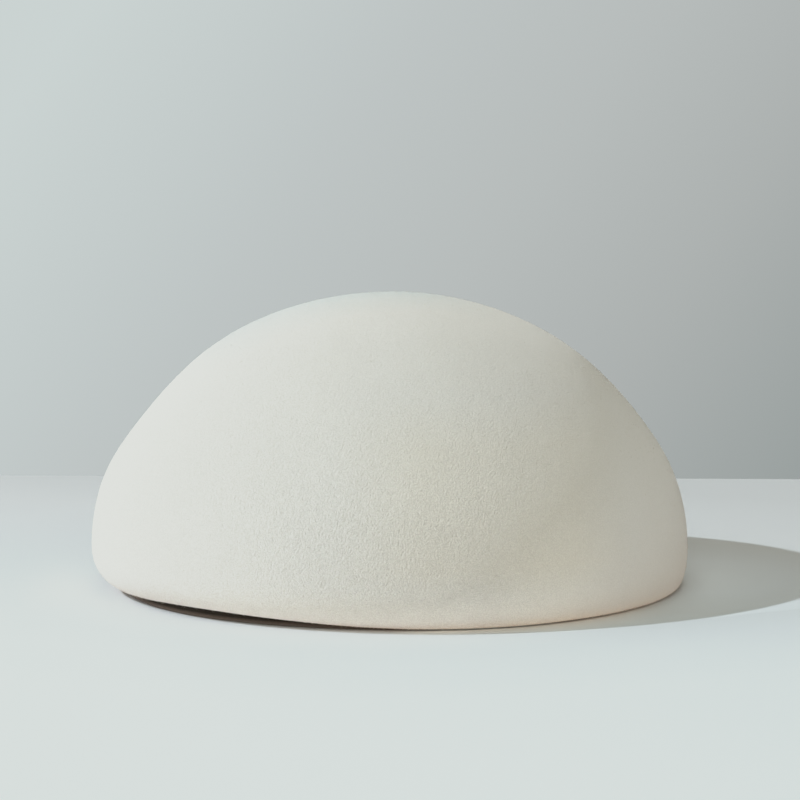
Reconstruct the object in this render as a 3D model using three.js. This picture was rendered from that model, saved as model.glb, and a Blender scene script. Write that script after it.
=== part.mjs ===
// A blocked wool felt hat: one seamless felt dome whose edge curls in under it, and a ribbon
// sweatband that is sewn inside the edge and carries the hat when it rests.
// Millimetres. -X is the front of the hat, +X its back, +Z up, and z = 0 is what it rests on.

import * as THREE from 'three';

// ---- Driving dimensions ----

const hatHeight = 104;
const feltThickness = 2.2;
const sewnGap = 0.3; // between the sweatband and the felt's lower edge

// The foot of the sweatband's outer face, seen from above, and how far its top leans inwards.
const band = { centreX: 3.75, halfLength: 98.1, halfWidth: 81.1, height: 25, thickness: 1, lean: 1.2 };

// Seen from above the hat is an egg: this share wider than its middle at the back, and
// narrower at the front.
const eggShare = 0.08;

// The sweatband's front end is blunter than an egg's, wider by up to this share.
const frontFullness = 0.07;

// The felt at the front, the sides and the back of the hat:
// reach        from the hat's axis to its widest point
// bulgeHeight  height of that widest point
// fullness     exponent of the dome's superellipse, where 2 is an ellipse
// flankDip     how far the middle of the flank is drawn in, as a share of the reach
// edgeHeight   height of the felt's lower edge above what the hat rests on, before any lift
const sections = {
  front: { reach: 106.2, bulgeHeight: 14.8, fullness: 1.98, flankDip: 0.036, edgeHeight: 0.35 },
  side: { reach: 91, bulgeHeight: 15, fullness: 1.93, flankDip: 0.028, edgeHeight: 0.65 },
  back: { reach: 106.2, bulgeHeight: 13.2, fullness: 1.95, flankDip: 0.02, edgeHeight: 0.65 },
};

// The stretch of the dome that flankDip draws in.
const flank = { height: 69, halfSpan: 37 };

// The felt's lower edge is lifted at two places, each this many degrees round from the front
// and fading out over the span.
const edgeLift = { height: 3.15, angle: 40, span: 50 };

// How far the felt has turned from upright towards level at its lower edge.
const curlAngle = THREE.MathUtils.degToRad(70);

// Faceting.
const stepsAround = 72;
const domeRows = 16;
const curlRows = 5;
const lipRows = 3;
const slopeStep = 1e-4;

// ---- The middle of the felt, halfway between its two faces ----

const halfThickness = feltThickness / 2;
const topHeight = hatHeight - halfThickness;

/** Value of one column of the sections table, theta round from the back of the hat. */
function sectionValue(column, theta) {
  const alongHat = Math.cos(theta);
  const end = alongHat < 0 ? sections.front : sections.back;
  return end[column] * alongHat ** 2 + sections.side[column] * (1 - alongHat ** 2);
}

/** A point on an egg-shaped outline, theta round from the back of the hat. */
function eggPoint(theta, centreX, halfLength, halfWidth) {
  const alongHat = Math.cos(theta);
  const widening = 1 + eggShare * alongHat;
  return new THREE.Vector2(
    centreX + halfLength * alongHat,
    halfWidth * Math.sin(theta) * widening,
  );
}

/** The felt's widest outline, seen from above. */
function bulgeOutline(theta) {
  const end = Math.cos(theta) < 0 ? sections.front : sections.back;
  return eggPoint(theta, 0, end.reach - halfThickness, sections.side.reach - halfThickness);
}

/** The foot of the sweatband's outer face, seen from above and moved outwards by outset. */
function bandOutline(theta, outset) {
  const plan = eggPoint(theta, band.centreX, band.halfLength + outset, band.halfWidth + outset);
  plan.y *= 1 + frontFullness * Math.min(Math.cos(theta), 0) ** 2;
  return plan;
}

/** Height of the felt's lower edge. */
function edgeHeight(theta) {
  let height = halfThickness + sectionValue('edgeHeight', theta);
  for (const side of [-1, 1]) {
    const liftCentre = Math.PI + side * THREE.MathUtils.degToRad(edgeLift.angle);
    const away = Math.acos(THREE.MathUtils.clamp(Math.cos(theta - liftCentre), -1, 1));
    const share = Math.min(away / THREE.MathUtils.degToRad(edgeLift.span), 1);
    height += edgeLift.height * (1 + Math.cos(Math.PI * share)) / 2;
  }
  return height;
}

/** The dome, climb = 0 at the widest outline and 1 at the top. */
function domePoint(theta, climb) {
  const power = 2 / sectionValue('fullness', theta);
  const bulgeHeight = sectionValue('bulgeHeight', theta);
  const angle = climb * Math.PI / 2;
  const height = bulgeHeight + (topHeight - bulgeHeight) * Math.sin(angle) ** power;
  const fromFlank = THREE.MathUtils.clamp((height - flank.height) / flank.halfSpan, -1, 1);
  const drawnIn = sectionValue('flankDip', theta) * (1 - fromFlank ** 2) ** 3;
  const reach = Math.cos(angle) ** power * (1 - drawnIn);
  const plan = bulgeOutline(theta).multiplyScalar(reach);
  return new THREE.Vector3(plan.x, plan.y, height);
}

/** The curl under the widest outline, turn = 0 there and 1 at the felt's lower edge. */
function curlPoint(theta, turn) {
  const angle = turn * curlAngle;
  const inward = (1 - Math.cos(angle)) / (1 - Math.cos(curlAngle));
  const downward = Math.sin(angle) / Math.sin(curlAngle);
  const edge = bandOutline(theta, sewnGap + halfThickness);
  const plan = bulgeOutline(theta).lerp(edge, inward);
  const bulgeHeight = sectionValue('bulgeHeight', theta);
  return new THREE.Vector3(
    plan.x,
    plan.y,
    THREE.MathUtils.lerp(bulgeHeight, edgeHeight(theta), downward),
  );
}

/** The felt from row = -1 at its lower edge, through 0 at its widest outline, to 1 at the top. */
function middlePoint(theta, row) {
  return row < 0 ? curlPoint(theta, -row) : domePoint(theta, row);
}

/** Unit vectors out of the felt's face, and up along it. */
function faceDirections(theta, row) {
  const here = middlePoint(theta, row);
  const around = middlePoint(theta + slopeStep, row).sub(here);
  const up = middlePoint(theta, row + slopeStep).sub(here).normalize();
  return { outward: around.cross(up).normalize(), up };
}

/** A point of the felt, offset outwards and up along its face. */
function feltPoint(theta, row, outwards, upwards = 0) {
  const { outward, up } = faceDirections(theta, row);
  return middlePoint(theta, row)
    .addScaledVector(outward, outwards)
    .addScaledVector(up, upwards);
}

// ---- Closed meshes from rings of points ----

/** A ring of points, one for each step round the hat. */
function ring(pointAt) {
  return Array.from({ length: stepsAround }, (_, step) => (
    pointAt(step * 2 * Math.PI / stepsAround)
  ));
}

/** Index triples of the strip between two neighbouring rings. */
function strip(firstStart, secondStart) {
  const triangles = [];
  for (let step = 0; step < stepsAround; step += 1) {
    const next = (step + 1) % stepsAround;
    triangles.push(firstStart + step, secondStart + next, secondStart + step);
    triangles.push(firstStart + step, firstStart + next, secondStart + next);
  }
  return triangles;
}

function geometryFrom(points, triangles) {
  const geometry = new THREE.BufferGeometry().setFromPoints(points);
  geometry.setIndex(triangles);
  geometry.computeVertexNormals();
  return geometry;
}

/** A closed shell: a first point, rings of points, and a last point. */
function shellGeometry(firstPoint, rings, lastPoint) {
  const points = [firstPoint, ...rings.flat(), lastPoint];
  const last = points.length - 1;
  const ringStart = (index) => 1 + index * stepsAround;
  const lastRing = ringStart(rings.length - 1);
  const triangles = [];
  for (let step = 0; step < stepsAround; step += 1) {
    const next = (step + 1) % stepsAround;
    triangles.push(0, ringStart(0) + next, ringStart(0) + step);
    triangles.push(last, lastRing + step, lastRing + next);
  }
  for (let index = 1; index < rings.length; index += 1) {
    triangles.push(...strip(ringStart(index - 1), ringStart(index)));
  }
  return geometryFrom(points, triangles);
}

/** A closed hoop: rings of points, the last joined to the first. */
function hoopGeometry(rings) {
  const triangles = rings.flatMap((_, index) => {
    const following = (index + 1) % rings.length;
    return strip(index * stepsAround, following * stepsAround);
  });
  return geometryFrom(rings.flat(), triangles);
}

// ---- The felt dome ----

function feltCrownGeometry() {
  // Rows from just under the top, down to the lower edge.
  const rowCount = domeRows + curlRows;
  const rows = Array.from({ length: rowCount }, (_, index) => {
    const above = domeRows - 1 - index;
    return above >= 0 ? above / domeRows : above / curlRows;
  });
  const inner = rows.map((row) => ring((theta) => feltPoint(theta, row, -halfThickness)));
  const outer = rows.map((row) => ring((theta) => feltPoint(theta, row, halfThickness)));

  // The cut edge is a half round from the inner face to the outer face.
  const lip = Array.from({ length: lipRows }, (_, index) => {
    const turn = (index + 1) * Math.PI / (lipRows + 1);
    const outwards = -halfThickness * Math.cos(turn);
    const upwards = -halfThickness * Math.sin(turn);
    return ring((theta) => feltPoint(theta, -1, outwards, upwards));
  });

  const innerTop = new THREE.Vector3(0, 0, hatHeight - feltThickness);
  const outerTop = new THREE.Vector3(0, 0, hatHeight);
  return shellGeometry(innerTop, [...inner, ...lip, ...outer.reverse()], outerTop);
}

// ---- The sweatband ----

function sweatbandGeometry() {
  const faceRing = (inset, height) => ring((theta) => {
    const plan = bandOutline(theta, -inset);
    return new THREE.Vector3(plan.x, plan.y, height);
  });
  return hoopGeometry([
    faceRing(0, 0),
    faceRing(band.lean, band.height),
    faceRing(band.lean + band.thickness, band.height),
    faceRing(band.thickness, 0),
  ]);
}

// ---- Assembly ----

const felt = new THREE.MeshStandardMaterial({ color: 0xdedfd6, roughness: 0.95, metalness: 0 });
const ribbon = new THREE.MeshStandardMaterial({ color: 0x443c35, roughness: 0.8, metalness: 0 });

function part(name, geometry, material) {
  const mesh = new THREE.Mesh(geometry, material);
  mesh.name = name;
  return mesh;
}

const hat = new THREE.Group();
hat.add(part('felt_crown', feltCrownGeometry(), felt));
hat.add(part('sweatband', sweatbandGeometry(), ribbon));

export default hat;
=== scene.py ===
"""The looks of a felt dome hat: a thick off-white wool felt cap and its ribbon sweatband.

Metres. -X is the front of the hat, +X its back, +Z up, and the floor is z = 0.
"""

import math

import bpy
import numpy as np
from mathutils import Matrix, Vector


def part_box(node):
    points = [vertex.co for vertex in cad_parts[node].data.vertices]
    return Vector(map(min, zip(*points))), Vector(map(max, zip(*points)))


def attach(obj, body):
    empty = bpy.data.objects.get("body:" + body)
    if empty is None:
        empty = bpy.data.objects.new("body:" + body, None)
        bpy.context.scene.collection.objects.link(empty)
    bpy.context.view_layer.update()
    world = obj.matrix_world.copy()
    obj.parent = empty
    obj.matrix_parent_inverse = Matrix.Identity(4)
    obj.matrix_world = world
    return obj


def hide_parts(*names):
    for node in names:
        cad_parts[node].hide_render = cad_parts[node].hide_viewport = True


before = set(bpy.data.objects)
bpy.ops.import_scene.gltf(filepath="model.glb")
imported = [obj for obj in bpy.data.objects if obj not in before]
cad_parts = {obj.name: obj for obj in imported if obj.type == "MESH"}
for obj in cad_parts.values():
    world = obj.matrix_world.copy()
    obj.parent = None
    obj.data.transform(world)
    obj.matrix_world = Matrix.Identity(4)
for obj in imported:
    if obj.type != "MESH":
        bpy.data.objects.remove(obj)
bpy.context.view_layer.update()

BODY = "root"
MM = 0.001

# ---- Driving dimensions: the CAD boxes, and the shape that the CAD solids follow ----

felt_low, felt_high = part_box("felt_crown")
band_low, band_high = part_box("sweatband")

FELT_THICKNESS = 2.2 * MM
HALF_FELT = FELT_THICKNESS / 2
SEWN_GAP = 0.3 * MM
TOP_HEIGHT = felt_high.z - HALF_FELT

BAND_CENTRE_X = (band_low.x + band_high.x) / 2
BAND_HALF_LENGTH = (band_high.x - band_low.x) / 2
BAND_HALF_WIDTH = 81.1 * MM
BAND_HEIGHT = band_high.z
BAND_THICKNESS = 1 * MM
BAND_LEAN = 1.2 * MM

EGG_SHARE = 0.08
FRONT_FULLNESS = 0.07
SIDE_REACH = 91 * MM

# The height where each section is widest, its dome's fullness, how far its flank dips in, and
# the height of its lower edge.
SECTION_COLUMNS = ("bulge", "fullness", "dip", "edge")
SECTIONS = {
    "front": (14.8 * MM, 1.98, 0.036, 0.35 * MM),
    "side": (15.0 * MM, 1.93, 0.028, 0.65 * MM),
    "back": (13.2 * MM, 1.95, 0.020, 0.65 * MM),
}
FLANK_HEIGHT = 69 * MM
FLANK_SPAN = 37 * MM
CURL_ANGLE = math.radians(70)

# Rises of the lower edge: height, angle round from the back of the hat, and span. The first two
# lift it at the front as the solid's does. The last, on the near side, is left to this script.
EDGE_WAVES = [
    (3.15 * MM, math.radians(140), math.radians(50)),
    (3.15 * MM, math.radians(220), math.radians(50)),
    (-0.3 * MM, math.radians(281), math.radians(26)),
]


# ---- The felt's shape ----

def section_value(column, theta):
    """One column of SECTIONS, theta round from the back of the hat."""
    front, side, back = (row[SECTION_COLUMNS.index(column)] for row in SECTIONS.values())
    along = np.cos(theta)
    return np.where(along < 0, front, back) * along**2 + side * (1 - along**2)


def egg(theta, centre_x, half_length, half_width):
    """Plan coordinates of an egg-shaped outline, wider at the back."""
    along = np.cos(theta)
    x = centre_x + half_length * along
    return x, half_width * np.sin(theta) * (1 + EGG_SHARE * along)


def band_outline(theta, outset):
    """The foot of the sweatband's outer face in plan, moved outwards by outset."""
    x, y = egg(theta, BAND_CENTRE_X, BAND_HALF_LENGTH + outset, BAND_HALF_WIDTH + outset)
    return x, y * (1 + FRONT_FULLNESS * np.minimum(np.cos(theta), 0) ** 2)


def edge_height(theta):
    """The height of the felt's lower edge, halfway through the felt."""
    height = HALF_FELT + section_value("edge", theta)
    for rise, angle, span in EDGE_WAVES:
        away = np.arccos(np.clip(np.cos(theta - angle), -1, 1))
        share = np.clip(away / span, 0, 1)
        height = height + rise * (1 + np.cos(math.pi * share)) / 2
    return height


def middle(theta, row):
    """Points halfway through the felt: row -1 is its lower edge, 0 its widest line, 1 its top."""
    theta, row = np.broadcast_arrays(theta, row)
    along = np.cos(theta)
    end_reach = np.where(along < 0, -felt_low.x, felt_high.x)
    wide_x, wide_y = egg(theta, 0, end_reach - HALF_FELT, SIDE_REACH - HALF_FELT)
    bulge = section_value("bulge", theta)

    power = 2 / section_value("fullness", theta)
    climb = np.clip(row, 0, 1) * math.pi / 2
    height = bulge + (TOP_HEIGHT - bulge) * np.sin(climb) ** power
    from_flank = np.clip((height - FLANK_HEIGHT) / FLANK_SPAN, -1, 1)
    drawn_in = section_value("dip", theta) * (1 - from_flank**2) ** 3
    reach = np.clip(np.cos(climb), 0, 1) ** power * (1 - drawn_in)
    dome = np.stack([wide_x * reach, wide_y * reach, height], axis=-1)

    turn = np.clip(-row, 0, 1) * CURL_ANGLE
    inward = (1 - np.cos(turn)) / (1 - math.cos(CURL_ANGLE))
    downward = np.sin(turn) / math.sin(CURL_ANGLE)
    edge_x, edge_y = band_outline(theta, SEWN_GAP + HALF_FELT)
    curl = np.stack(
        [
            wide_x + (edge_x - wide_x) * inward,
            wide_y + (edge_y - wide_y) * inward,
            bulge + (edge_height(theta) - bulge) * downward,
        ],
        axis=-1,
    )
    return np.where((row < 0)[..., None], curl, dome)


def felt_frame(theta, row):
    """Points halfway through the felt, with unit vectors out of its face and up along it."""
    step = 1e-4
    here = middle(theta, row)
    around = middle(theta + step, row) - here
    up = unit(middle(theta, row + step) - here)
    return here, unit(np.cross(around, up)), up


def unit(vectors):
    return vectors / np.linalg.norm(vectors, axis=-1, keepdims=True)


# The noise's values repeat after LATTICE cells; LATTICE_START keeps their indices positive.
LATTICE = 32
LATTICE_START = 1000.5


def smooth_noise(points, cell, seed):
    """Smooth noise from -1 to 1 that changes over the length cell."""
    lattice = np.random.default_rng(seed).uniform(-1, 1, (LATTICE, LATTICE, LATTICE))
    scaled = points / cell + LATTICE_START
    base = np.floor(scaled).astype(int)
    blend = scaled - base
    blend = blend * blend * (3 - 2 * blend)
    total = np.zeros(points.shape[:-1])
    for corner in np.ndindex(2, 2, 2):
        weight = np.prod(np.where(corner, blend, 1 - blend), axis=-1)
        index = (base + corner) % LATTICE
        total += weight * lattice[index[..., 0], index[..., 1], index[..., 2]]
    return total


def swells(points, table):
    """The sum of several noises, each given by its height, its cell and its seed."""
    return sum(height * smooth_noise(points, cell, seed) for height, cell, seed in table)


# ---- Meshes ----

def add_object(name, data):
    """A new object in the scene with this mesh, camera or light."""
    made = bpy.data.objects.new(name, data)
    bpy.context.collection.objects.link(made)
    return made


def mesh_from(name, points, faces):
    mesh = bpy.data.meshes.new(name)
    mesh.from_pydata(points.reshape(-1, 3).tolist(), [], faces)
    mesh.polygons.foreach_set("use_smooth", np.ones(len(faces), bool))
    mesh.update()
    return add_object(name, mesh)


def strips(first_ring, last_ring, around, offset=0):
    """Quads between neighbouring rings of points."""
    ring, step = np.meshgrid(np.arange(first_ring, last_ring), np.arange(around), indexing="ij")
    following = (step + 1) % around
    lower = offset + ring * around
    upper = lower + around
    quads = np.stack([lower + step, lower + following, upper + following, upper + step], axis=-1)
    return quads.reshape(-1, 4).tolist()


def closed_shell(name, bottom, rings, top):
    """A closed mesh: a point, rings of points, and a point."""
    count, around, _ = rings.shape
    points = np.concatenate([[bottom], rings.reshape(-1, 3), [top]])
    faces = strips(0, count - 1, around, offset=1)
    last = len(points) - 1
    final = 1 + (count - 1) * around
    for step in range(around):
        following = (step + 1) % around
        faces.append([0, 1 + following, 1 + step])
        faces.append([last, final + step, final + following])
    return mesh_from(name, points, faces)


def closed_hoop(name, rings):
    """A closed mesh: rings of points, the last joined to the first."""
    count, around, _ = rings.shape
    faces = strips(0, count - 1, around)
    last = (count - 1) * around
    for step in range(around):
        following = (step + 1) % around
        faces.append([last + step, last + following, following, step])
    return mesh_from(name, rings, faces)


# ---- The felt ----

AROUND = 400
DOME_ROWS = 96
CURL_ROWS = 14
LIP_ROWS = 9

# Heights, cells and seeds of the swells on the felt's face and along its cut edge.
FACE_SWELLS = [(0.16 * MM, 38 * MM, 3), (0.05 * MM, 9 * MM, 4), (0.03 * MM, 3.2 * MM, 5)]
EDGE_SWELLS = [(0.10 * MM, 1.7 * MM, 6), (0.12 * MM, 11 * MM, 7)]


def felt_rows():
    """Rows from just under the top down to the lower edge."""
    dome = 1 - np.arange(1, DOME_ROWS + 1) / DOME_ROWS
    curl = -np.arange(1, CURL_ROWS + 1) / CURL_ROWS
    return np.concatenate([dome, curl])


def face_points(theta, row, outwards):
    """Points on the felt's face that lies outwards from its middle, inwards where negative."""
    here, outward, _ = felt_frame(theta, row)
    face = here + outward * outwards
    return face + outward * (np.sign(outwards) * swells(face, FACE_SWELLS))[..., None]


def lip_points(theta, turn):
    """The cut edge: half round from the inner face (turn 0) to the outer face (turn pi)."""
    here, outward, up = felt_frame(theta, -1.0)
    inner = face_points(theta, -1.0, -HALF_FELT)
    outer = face_points(theta, -1.0, HALF_FELT)
    centre = (inner + outer) / 2
    reach = HALF_FELT + swells(here, EDGE_SWELLS)[..., None] * np.sin(turn)
    across = (outer - inner) / 2
    return centre - across * np.cos(turn) - up * reach * np.sin(turn)


def make_felt_skin():
    """The felt as one closed mesh: its inner face, its cut edge and its outer face."""
    theta = np.arange(AROUND) * 2 * math.pi / AROUND
    rows = felt_rows()
    inner = face_points(theta[None, :], rows[:, None], -HALF_FELT)
    outer = face_points(theta[None, :], rows[::-1, None], HALF_FELT)
    turns = np.arange(1, LIP_ROWS + 1) * math.pi / (LIP_ROWS + 1)
    lip = np.stack([lip_points(theta, turn) for turn in turns])
    rings = np.concatenate([inner, lip, outer])
    inner_top = np.array([0, 0, TOP_HEIGHT - HALF_FELT])
    outer_top = np.array([0, 0, TOP_HEIGHT + HALF_FELT])
    return closed_shell("felt_skin", inner_top, rings, outer_top)


# ---- The ribbon ----

RIBS = 620
STEPS_A_RIB = 5
RIB_RELIEF = 0.14 * MM
SELVEDGE_HEIGHTS = [0, 0.35 * MM, 0.7 * MM, 1.1 * MM]
BODY_HEIGHTS = [8 * MM, 16 * MM]
SELVEDGE_START = 0.35 * MM
SELVEDGE_WIDTH = 0.7 * MM
SELVEDGE_RELIEF = 0.15
EDGE_ROUNDING = 0.2 * MM


def make_ribbon():
    """The sweatband as a ribbed ribbon whose ribs fade into a flat selvedge at both edges."""
    around = RIBS * STEPS_A_RIB
    theta = np.arange(around) * 2 * math.pi / around
    rib = 0.5 - 0.5 * np.cos(theta * RIBS)
    upper = [BAND_HEIGHT - height for height in reversed(SELVEDGE_HEIGHTS)]
    heights = [*SELVEDGE_HEIGHTS, *BODY_HEIGHTS, *upper]
    rings = []
    for outer in (True, False):
        for height in heights if outer else reversed(heights):
            from_edge = min(height, BAND_HEIGHT - height)
            full = (from_edge - SELVEDGE_START) / SELVEDGE_WIDTH
            relief = RIB_RELIEF * min(max(full, SELVEDGE_RELIEF), 1)
            rounding = EDGE_ROUNDING if from_edge == 0 else 0
            lean = BAND_LEAN * height / BAND_HEIGHT
            depth = rounding + relief * (1 - rib)
            inset = lean + (depth if outer else BAND_THICKNESS - depth)
            x, y = band_outline(theta, -inset)
            rings.append(np.stack([x, y, np.full_like(x, height)], axis=-1))
    return closed_hoop("ribbon_weave", np.stack(rings)[::-1])


# ---- Fuzz ----

FIBRE_POINTS = 7
KNEE_WIDTH_SHARE = 0.8
LENGTH_SHAPE = 4.0

EDGE_FIBRES = 16000
EDGE_TURNS = (0.30, 1.02)
EDGE_SCATTER_AROUND = 0.75
EDGE_SCATTER_UP = 0.5
EDGE_BEND = 0.5
EDGE_ROOT_SHARE = 0.96

NAP_FIBRES = 19000
NAP_ON_CURL = 0.12
NAP_ROWS = (-0.98, 0.985)
NAP_TILTS = (0.15, 0.8)
NAP_BEND = 0.45
NAP_BEND_DOWN = 0.35
NAP_ROOT_DEPTH = 0.03 * MM


def fibre_sizes(rng, count, spread, least, thinnest, thickest):
    """Lengths and widths drawn for count fibres."""
    lengths = rng.gamma(LENGTH_SHAPE, spread, count) + least
    return lengths, rng.uniform(thinnest, thickest, count)


def fibres(name, roots, directions, bends, lengths, widths):
    """One joined mesh of thin tapered spikes, each a closed body with a bend in its middle."""
    count = len(roots)
    side = unit(np.cross(directions, bends))
    other = np.cross(directions, side)
    angles = np.arange(3) * 2 * math.pi / 3
    circle = np.cos(angles)[:, None, None] * side + np.sin(angles)[:, None, None] * other
    half = lengths[:, None] / 2
    knee = roots + directions * half
    tip = knee + unit(directions + bends) * half
    foot_ring = roots + circle * widths[:, None] / 2
    knee_ring = knee + circle * widths[:, None] * KNEE_WIDTH_SHARE / 2
    points = np.concatenate([foot_ring, knee_ring, tip[None]]).transpose(1, 0, 2)
    # Points 0 to 2 are the foot, 3 to 5 the knee and 6 the tip.
    local = [(0, 2, 1)]
    for k in range(3):
        n = (k + 1) % 3
        local += [(k, n, 3 + n), (k, 3 + n, 3 + k), (3 + k, 3 + n, 6)]
    first = FIBRE_POINTS * np.arange(count)[:, None, None]
    faces = (np.array(local)[None] + first).reshape(-1, 3)
    return mesh_from(name, points, faces.tolist())


def make_edge_fuzz():
    """Loose fibre ends round the cut edge of the felt."""
    rng = np.random.default_rng(11)
    count = EDGE_FIBRES
    theta = rng.uniform(0, 2 * math.pi, count)
    turn = rng.uniform(*EDGE_TURNS, count) * math.pi
    here, outward, up = felt_frame(theta, -1.0)
    cos, sin = np.cos(turn)[:, None], np.sin(turn)[:, None]
    normal = unit(-outward * cos - up * sin)
    around = np.cross(outward, up)
    roots = here + normal * HALF_FELT * EDGE_ROOT_SHARE
    tilt = rng.normal(0, EDGE_SCATTER_AROUND, (count, 1)) * around
    tilt = tilt + rng.normal(0, EDGE_SCATTER_UP, (count, 1)) * up
    directions = unit(normal + tilt)
    bends = rng.normal(0, EDGE_BEND, (count, 3))
    lengths, widths = fibre_sizes(rng, count, 0.10 * MM, 0.12 * MM, 0.025 * MM, 0.05 * MM)
    return fibres("felt_edge_fuzz", roots, directions, bends, lengths, widths)


def make_nap():
    """Loose fibre ends lying on the felt's outer face."""
    rng = np.random.default_rng(12)
    count = NAP_FIBRES
    on_curl = rng.uniform(0, 1, count) < NAP_ON_CURL
    theta = rng.uniform(0, 2 * math.pi, count)
    curl_row = -rng.uniform(0, 1, count)
    dome_row = np.arcsin(rng.uniform(0, 1, count)) * 2 / math.pi
    row = np.clip(np.where(on_curl, curl_row, dome_row), *NAP_ROWS)
    here, outward, up = felt_frame(theta, row)
    face = face_points(theta, row, HALF_FELT)
    around = np.cross(outward, up)
    spin = rng.uniform(0, 2 * math.pi, (count, 1))
    flat = np.cos(spin) * around + np.sin(spin) * up
    directions = unit(flat + outward * rng.uniform(*NAP_TILTS, (count, 1)))
    bends = rng.normal(0, NAP_BEND, (count, 3)) - outward * NAP_BEND_DOWN
    lengths, widths = fibre_sizes(rng, count, 0.11 * MM, 0.2 * MM, 0.06 * MM, 0.11 * MM)
    roots = face - outward * NAP_ROOT_DEPTH
    return fibres("felt_nap", roots, directions, bends, lengths, widths)


# ---- Directions on the floor ----

CAMERA_AZIMUTH = -7.97
CAMERA_ELEVATION = 11.68


def from_azimuth(azimuth, elevation):
    """Unit vector from the hat towards a point; azimuth 0 is -Y and 90 is +X, in degrees."""
    a, e = math.radians(azimuth), math.radians(elevation)
    return Vector((math.sin(a) * math.cos(e), -math.cos(a) * math.cos(e), math.sin(e)))


# Fixed directions, named as they lie in the photo.
AWAY = -from_azimuth(CAMERA_AZIMUTH, 0)
RIGHT = from_azimuth(CAMERA_AZIMUTH + 90, 0)
UP = Vector((0, 0, 1))


# ---- Materials ----

class Nodes:
    """A node tree, with short calls to add and join nodes."""

    def __init__(self, tree, coordinates):
        self.tree = tree
        self.place = self.node("ShaderNodeTexCoord").outputs[coordinates]

    def node(self, kind, **values):
        made = self.tree.nodes.new(kind)
        for key, value in values.items():
            setattr(made, key, value)
        return made

    def join(self, source, target):
        self.tree.links.new(source, target)

    def fill(self, target, value):
        """Joins value to an input where it is another node's output, or else sets it."""
        if isinstance(value, bpy.types.NodeSocket):
            self.join(value, target)
        else:
            target.default_value = value

    def vector_math(self, operation, first, second):
        made = self.node("ShaderNodeVectorMath", operation=operation)
        self.fill(made.inputs[0], first)
        self.fill(made.inputs[1], second)
        return made

    def along(self, direction):
        """How far a point lies along direction, times its length."""
        return self.vector_math("DOT_PRODUCT", self.place, direction).outputs["Value"]

    def distance(self, point, centre):
        return self.vector_math("DISTANCE", point, centre).outputs["Value"]

    def noise(self, size, detail=2.0):
        """Noise whose features are about size across."""
        made = self.node("ShaderNodeTexNoise")
        made.inputs["Scale"].default_value = 1 / size
        made.inputs["Detail"].default_value = detail
        self.join(self.place, made.inputs["Vector"])
        return made.outputs["Fac"]

    def ramp(self, factor, stops):
        made = self.node("ShaderNodeValToRGB")
        elements = made.color_ramp.elements
        while len(elements) < len(stops):
            elements.new(0.5)
        for element, (position, colour) in zip(elements, stops):
            element.position = position
            element.color = (*colour, 1)
        self.join(factor, made.inputs["Fac"])
        return made.outputs["Color"]

    def map_range(self, value, low, high, to_low=0.0, to_high=1.0):
        made = self.node("ShaderNodeMapRange")
        limits = {"From Min": low, "From Max": high, "To Min": to_low, "To Max": to_high}
        for name, limit in limits.items():
            made.inputs[name].default_value = limit
        self.join(value, made.inputs["Value"])
        return made.outputs["Result"]

    def times(self, product, *others):
        """All the values multiplied together."""
        for value in others:
            made = self.node("ShaderNodeMath", operation="MULTIPLY")
            self.join(product, made.inputs[0])
            self.join(value, made.inputs[1])
            product = made.outputs["Value"]
        return product

    def blend(self, factor, first, second, kind="MIX"):
        """Mixes two colours. The node's sockets share their names, so they go by index."""
        made = self.node("ShaderNodeMix", data_type="RGBA", blend_type=kind)
        for index, value in ((0, factor), (6, first), (7, second)):
            self.fill(made.inputs[index], value)
        return made.outputs[2]

    def multiply(self, first, second):
        return self.blend(1.0, first, second, "MULTIPLY")

    def bump(self, height, distance, strength=1.0, normal=None):
        made = self.node("ShaderNodeBump")
        made.inputs["Distance"].default_value = distance
        self.fill(made.inputs["Strength"], strength)
        self.join(height, made.inputs["Height"])
        if normal is not None:
            self.join(normal, made.inputs["Normal"])
        return made.outputs["Normal"]


class Shader(Nodes):
    """A new material, whose uniform values go straight on its own sockets."""

    def __init__(self, name, **sockets):
        self.material = bpy.data.materials.new(name)
        self.material.use_nodes = True
        super().__init__(self.material.node_tree, "Object")
        self.surface = self.tree.nodes["Principled BSDF"]
        for socket, value in sockets.items():
            self.surface.inputs[socket.replace("_", " ")].default_value = value

    def axes(self):
        split = self.node("ShaderNodeSeparateXYZ")
        self.join(self.place, split.inputs[0])
        return split.outputs


WHITE = (1.0, 1.0, 1.0)
PLAIN_WOOL = (0.813, 0.812, 0.769, 1)

# Where the felt's grain starts to fade on an axis, where it is faintest, and what is left there.
GRAIN_FADES = [("Z", 40 * MM, 90 * MM, 0.4), ("X", 30 * MM, 80 * MM, 0.3)]

# Small changes to the felt's colour, all but the first of them painted light and shade. Each is a
# multiplier and four places in millimetres on each of its axes: it starts at the first, is full
# from the second to the third and ends at the fourth.
FELT_TINTS_AND_PAINTED_LIGHT = [
    # creamier in the middle of the near side, between the hem and the shoulder
    ((1.0, 0.985, 0.955), {"X": (-30, 0, 52, 75), "Z": (12, 22, 60, 75)}),
    # painted light thrown up from the table: paler low down, behind the middle
    ((1.07, 1.065, 1.05), {"X": (18, 38, 50, 70), "Z": (-20, 0, 12, 50)}),
    # painted light thrown up from the table: paler along the hem, in front of the middle
    ((1.045, 1.04, 1.03), {"X": (-100, -60, 20, 40), "Z": (-20, 0, 8, 16)}),
    # painted shade: greyer on the crest, from the front of the hat to just past its middle
    (
        (0.865, 0.93, 0.955),
        {"Y": (-24, 3, 24, 50), "Z": (75, 90, 200, 201), "X": (-95, -75, 8, 38)},
    ),
]


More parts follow.
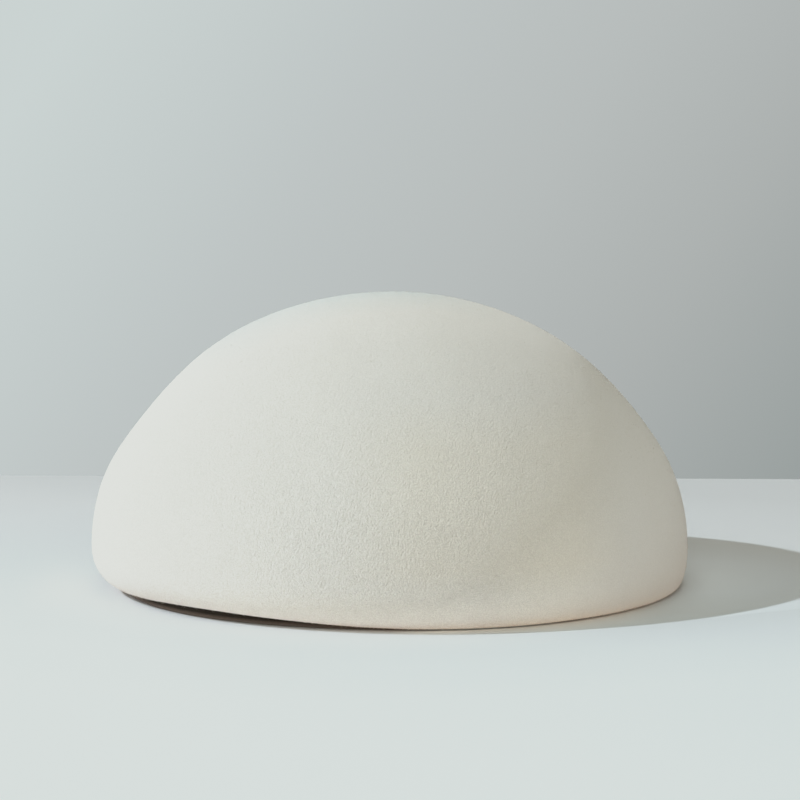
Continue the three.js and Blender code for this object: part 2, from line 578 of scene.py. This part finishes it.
def felt_material():
    """Wool felt whose grain stands out least on the top and towards the back of the hat."""
    felt = Shader("felt", Roughness=0.95, Diffuse_Roughness=0.9, Specular_IOR_Level=0.1)
    axes = felt.axes()
    fades = [
        felt.map_range(axes[axis], start, end, 1.0, left)
        for axis, start, end, left in GRAIN_FADES
    ]
    strength = felt.times(*fades)

    speckle = felt.ramp(
        felt.noise(0.34 * MM, detail=0),
        [(0.25, (0.744, 0.743, 0.701)), (0.75, (0.881, 0.882, 0.837))],
    )
    wool = felt.blend(strength, PLAIN_WOOL, speckle)
    broad = felt.ramp(
        felt.noise(26 * MM, detail=2),
        [(0.3, (0.985, 0.985, 0.985)), (0.7, WHITE)],
    )
    colour = felt.multiply(wool, broad)
    for tone_or_painted_light, spans in FELT_TINTS_AND_PAINTED_LIGHT:
        windows = []
        for axis, (start, full, fading, end) in spans.items():
            rise = felt.map_range(axes[axis], start * MM, full * MM)
            fall = felt.map_range(axes[axis], fading * MM, end * MM, 1.0, 0.0)
            windows.append(felt.times(rise, fall))
        toned_or_painted = felt.multiply(colour, (*tone_or_painted_light, 1))
        colour = felt.blend(felt.times(*windows), colour, toned_or_painted)
    felt.join(colour, felt.surface.inputs["Base Color"])

    lumps = felt.bump(felt.noise(1.6 * MM, detail=1), 0.14 * MM)
    grain = felt.bump(felt.noise(0.57 * MM, detail=0), 0.29 * MM, strength, lumps)
    felt.join(grain, felt.surface.inputs["Normal"])
    return felt.material


def fuzz_material():
    """The colour of the loose fibres."""
    fuzz = Shader("felt_fibre", Roughness=0.9, Diffuse_Roughness=0.9, Specular_IOR_Level=0.15)
    colour = fuzz.ramp(
        fuzz.noise(1.5 * MM, detail=1),
        [(0.3, (0.78, 0.77, 0.70)), (0.7, (0.88, 0.87, 0.81))],
    )
    fuzz.join(colour, fuzz.surface.inputs["Base Color"])
    return fuzz.material


def ribbon_material():
    """Dark ribbon with painted shade and light: darkest at the top under the felt's edge, paler
    at its foot.
    """
    ribbon = Shader("ribbon", Roughness=0.7, Diffuse_Roughness=0.6, Specular_IOR_Level=0.1)
    threads = ribbon.ramp(
        ribbon.noise(0.35 * MM, detail=2),
        [(0.3, (0.127, 0.103, 0.083)), (0.7, (0.173, 0.142, 0.118))],
    )
    # Painted shade and light by height: dark at the top where the felt's edge shades it, paler at
    # the foot.
    painted_shade_by_height = ribbon.ramp(
        ribbon.map_range(ribbon.axes()["Z"], 0.3 * MM, 1.7 * MM),
        [(0.0, (1.45, 1.48, 1.52)), (0.4, (0.92, 0.92, 0.90)), (1.0, (0.24, 0.24, 0.22))],
    )
    ribbon.join(ribbon.multiply(threads, painted_shade_by_height), ribbon.surface.inputs["Base Color"])
    ribbon.join(ribbon.bump(ribbon.noise(0.3 * MM), 0.03 * MM), ribbon.surface.inputs["Normal"])
    return ribbon.material


# The table top's tones from the near left to the far right, by how far a point lies along
# TONE_DIRECTION from TONE_START to TONE_END.
TONE_DIRECTION = AWAY + RIGHT * 0.3
TONE_START, TONE_END = -0.25, 0.21
FLOOR_TONES = [
    (0.0, (0.812, 0.910, 0.958)),
    (0.26, (0.793, 0.888, 0.932)),
    (0.54, (0.741, 0.813, 0.839)),
    (0.80, (0.728, 0.768, 0.778)),
    (1.0, (0.664, 0.696, 0.700)),
]

# Painted light: a lighter, bluer pool on the table top to the right of the hat, lifting its cast
# shadow.
SHADOW_LIFT_CENTRE = RIGHT * 0.114 + AWAY * 0.008
SHADOW_LIFT_RADIUS = 0.062
SHADOW_LIFT_TONES = [(0.0, (1.09, 1.11, 1.14)), (0.45, (1.075, 1.09, 1.12)), (1.0, WHITE)]

# Painted shade and light next to the hat's foot: in the light the table top is painted darker and
# warmer by the foot, and in the hat's shadow painted lighter and warmer by it. 0 is at the
# sweatband and 1 is FOOT_REACH sweatbands out from the middle of the hat.
FOOT_REACH = 2.2
FOOT_PAINTED_SHADE_TONES = [
    (0.0, (0.91, 0.86, 0.84)),
    (0.05, (0.91, 0.875, 0.86)),
    (0.167, (0.91, 0.90, 0.895)),
    (0.533, (0.965, 0.962, 0.96)),
    (1.0, WHITE),
]
SHADOW_PAINTED_LIGHT_TONES = [
    (0.0, (2.0, 1.88, 1.8)),
    (0.03, (1.6, 1.5, 1.45)),
    (0.055, (1.16, 1.10, 1.06)),
    (0.2, WHITE),
]
# How far to the right the painted light in the hat's shadow starts to fade, and where it is gone.
SHADOW_PAINTED_LIGHT_ENDS = (78 * MM, 98 * MM)

# The part of the table top by the foot that the hat shades: past all three of these lines, each
# a direction and where it starts and is full.
SHADED_PAST = [
    (AWAY - RIGHT * 0.13, -90.5 * MM, -88.5 * MM),
    (AWAY - RIGHT * 0.45, -111 * MM, -109 * MM),
    (RIGHT, 0.0, 20 * MM),
]


def floor_material():
    """Pale paper, darker to the far right, with painted light and shade around the hat."""
    floor = Shader("floor", Roughness=0.7, Specular_IOR_Level=0.2)
    spread = floor.map_range(floor.along(TONE_DIRECTION), TONE_START, TONE_END)
    colour = floor.ramp(spread, FLOOR_TONES)
    # Painted light that lifts the hat's cast shadow to its right.
    from_shadow_lift = floor.map_range(floor.distance(floor.place, SHADOW_LIFT_CENTRE), 0.0, SHADOW_LIFT_RADIUS)
    colour = floor.multiply(colour, floor.ramp(from_shadow_lift, SHADOW_LIFT_TONES))

    band_size = (BAND_HALF_LENGTH, BAND_HALF_WIDTH, 1)
    in_bands = floor.vector_math("DIVIDE", floor.place, band_size).outputs[0]
    band_centre = (BAND_CENTRE_X / BAND_HALF_LENGTH, 0, 0)
    beyond = floor.map_range(floor.distance(in_bands, band_centre), 1.0, FOOT_REACH)
    # Painted shade by the foot where the table top is lit, and painted light by it in the hat's
    # shadow.
    painted_foot_shade = floor.ramp(beyond, FOOT_PAINTED_SHADE_TONES)
    faded = floor.map_range(floor.along(RIGHT), *SHADOW_PAINTED_LIGHT_ENDS)
    painted_shadow_light = floor.blend(faded, floor.ramp(beyond, SHADOW_PAINTED_LIGHT_TONES), (*WHITE, 1))
    past = [
        floor.map_range(floor.along(direction), start, full)
        for direction, start, full in SHADED_PAST
    ]
    colour = floor.multiply(colour, floor.blend(floor.times(*past), painted_foot_shade, painted_shadow_light))
    floor.join(colour, floor.surface.inputs["Base Color"])
    return floor.material


def dress(piece, material, node=None):
    piece.data.materials.append(material)
    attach(piece, BODY)
    if node:
        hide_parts(node)


# ---- Camera, floor and light ----

LENS_MM = 163.38
SENSOR_MM = 36
CAMERA_DISTANCE = 1.3
CAMERA_TARGET = Vector((0.00352, -0.00049, 0.06576))


def aim(thing, target):
    thing.rotation_euler = (target - thing.location).to_track_quat("-Z", "Y").to_euler()


def make_camera():
    data = bpy.data.cameras.new("camera")
    data.lens = LENS_MM
    data.sensor_width = SENSOR_MM
    camera = add_object("camera", data)
    camera.location = from_azimuth(CAMERA_AZIMUTH, CAMERA_ELEVATION) * CAMERA_DISTANCE
    aim(camera, CAMERA_TARGET)
    bpy.context.scene.camera = camera


TABLE_FAR = 0.2146
TABLE_TURN = 0.05
TABLE_NEAR = 1.6
TABLE_HALF_WIDTH = 1.6
TABLE_DEPTH = 0.01


def make_floor():
    """A pale table top whose far edge lies behind the hat, a little nearer on the right."""
    half = RIGHT * TABLE_HALF_WIDTH
    top = [AWAY * (TABLE_FAR + TABLE_TURN) - half, AWAY * (TABLE_FAR - TABLE_TURN) + half]
    top += [-AWAY * TABLE_NEAR + half, -AWAY * TABLE_NEAR - half]
    points = np.array([*top, *(corner - UP * TABLE_DEPTH for corner in top)])
    faces = [[3, 2, 1, 0], [4, 5, 6, 7]]
    faces += [[k, (k + 1) % 4, 4 + (k + 1) % 4, 4 + k] for k in range(4)]
    floor = mesh_from("floor", points, faces)
    floor.data.polygons.foreach_set("use_smooth", np.zeros(len(faces), bool))
    floor.data.materials.append(floor_material())


def add_light(name, kind, azimuth, elevation, distance, energy, colour):
    """A light aimed at the hat, its azimuth counted from the camera's."""
    data = bpy.data.lights.new(name, kind)
    data.energy = energy
    data.color = colour
    light = add_object(name, data)
    light.location = from_azimuth(CAMERA_AZIMUTH + azimuth, elevation) * distance
    aim(light, Vector((0, 0, 0)))
    light.visible_camera = False
    return data


COOL = (0.927, 1.0, 1.088)
SOFT = (1.036, 1.0, 0.887)
SOFT_LEFT = (1.0, 1.0, 1.036)
BOUNCED = (1.59, 1.0, 0.737)

# name, kind, azimuth, elevation, distance, energy, colour
KEY_LIGHT = ("key", "SUN", -79, 40, 1.5, 1.79, COOL)
KEY_WIDTH = math.radians(1.2)
SOFT_LIGHTS = [
    # name, azimuth, elevation, distance, size, watts, colour
    ("soft_left", -85, 28, 1.5, 1.0, 3.1, SOFT_LEFT),
    ("low_left", -85, 6, 1.2, 0.5, 3.6, SOFT_LEFT),
    ("low_front", 5, 8, 1.5, 0.6, 1.25, SOFT),
    ("soft_front", 0, 40, 2.0, 1.5, 8.9, SOFT),
    ("soft_right", 85, 28, 1.5, 1.0, 1.0, SOFT),
    ("soft_top", 0, 88, 1.6, 1.2, 5.3, SOFT),
    ("soft_back", 180, 40, 1.6, 1.2, 3.1, SOFT),
]

CARD_LENGTH = 0.44
CARD_WIDTH = 0.50
CARD_WATTS_A_METRE = 0.0635 / 0.30
CARD_PLACE = from_azimuth(CAMERA_AZIMUTH + 70, 0) * 0.058
CARD_LIFT = 0.2 * MM


def make_lights():
    """A small hard key from the left, soft light all round, and light thrown up by the table."""
    key = add_light(*KEY_LIGHT)
    key.angle = KEY_WIDTH
    for name, azimuth, elevation, distance, size, watts, colour in SOFT_LIGHTS:
        data = add_light(name, "AREA", azimuth, elevation, distance, watts, colour)
        data.size = size
    make_bounce_card()


def make_bounce_card():
    """Warm light from the table top on to the lower edge of the felt."""
    data = bpy.data.lights.new("bounce_card", "AREA")
    data.shape = "RECTANGLE"
    data.size, data.size_y = CARD_LENGTH, CARD_WIDTH
    data.energy = CARD_WATTS_A_METRE * CARD_WIDTH
    data.color = BOUNCED
    card = add_object("bounce_card", data)
    card.location = CARD_PLACE + UP * CARD_LIFT
    card.rotation_euler = (math.pi, 0, math.radians(CAMERA_AZIMUTH))
    card.visible_camera = False


# The level that each channel nears, the share of it where its shoulder starts, levels that stay
# as they are below that, and how far past it the shoulder's points lie.
SHOWN_WHITES = (0.749, 0.766, 0.733)
KNEE_OF_WHITE = 0.85
STRAIGHT_LEVELS = (0.3, 0.5)
SHOULDER_STEPS = (0.06, 0.16, 0.28)


def soften_highlights():
    """The picture's response: straight up to a knee, then a soft shoulder below each white."""
    view = bpy.context.scene.view_settings
    view.view_transform = "Standard"
    view.use_curve_mapping = True
    view.curve_mapping.extend = "HORIZONTAL"
    for curve, white in zip(view.curve_mapping.curves, SHOWN_WHITES):
        knee = KNEE_OF_WHITE * white
        for level in (*STRAIGHT_LEVELS, knee):
            curve.points.new(level, level)
        for beyond in (*SHOULDER_STEPS, 1 - knee):
            shown = knee + (white - knee) * (1 - math.exp(-beyond / (white - knee)))
            if knee + beyond < 1:
                curve.points.new(knee + beyond, shown)
            else:
                curve.points[-1].location = (1, shown)
    view.curve_mapping.update()


# The wall's tones, by how far a view direction lies along WALL_DIRECTION.
WALL_DIRECTION = RIGHT - UP * 0.72
WALL_START, WALL_END = -0.05, 0.262
WALL_TONES = [
    (0.0, (0.590, 0.650, 0.645)),
    (0.30, (0.515, 0.552, 0.550)),
    (0.50, (0.475, 0.505, 0.500)),
    (0.70, (0.415, 0.440, 0.434)),
    (1.0, (0.290, 0.325, 0.320)),
]


def make_world():
    """The backdrop: a plain wall, lighter on the left and towards the top; it lights nothing."""
    world = bpy.data.worlds.new("studio")
    bpy.context.scene.world = world
    world.use_nodes = True
    wall = Nodes(world.node_tree, "Generated")
    background = wall.tree.nodes["Background"]
    spread = wall.map_range(wall.along(WALL_DIRECTION), WALL_START, WALL_END)
    wall.join(wall.ramp(spread, WALL_TONES), background.inputs["Color"])
    seen = wall.node("ShaderNodeLightPath").outputs["Is Camera Ray"]
    wall.join(seen, background.inputs["Strength"])


make_camera()
make_floor()
make_lights()
make_world()
soften_highlights()

wool = felt_material()
dress(make_felt_skin(), wool, "felt_crown")
dress(make_ribbon(), ribbon_material(), "sweatband")
fibre = fuzz_material()
dress(make_edge_fuzz(), fibre)
dress(make_nap(), fibre)
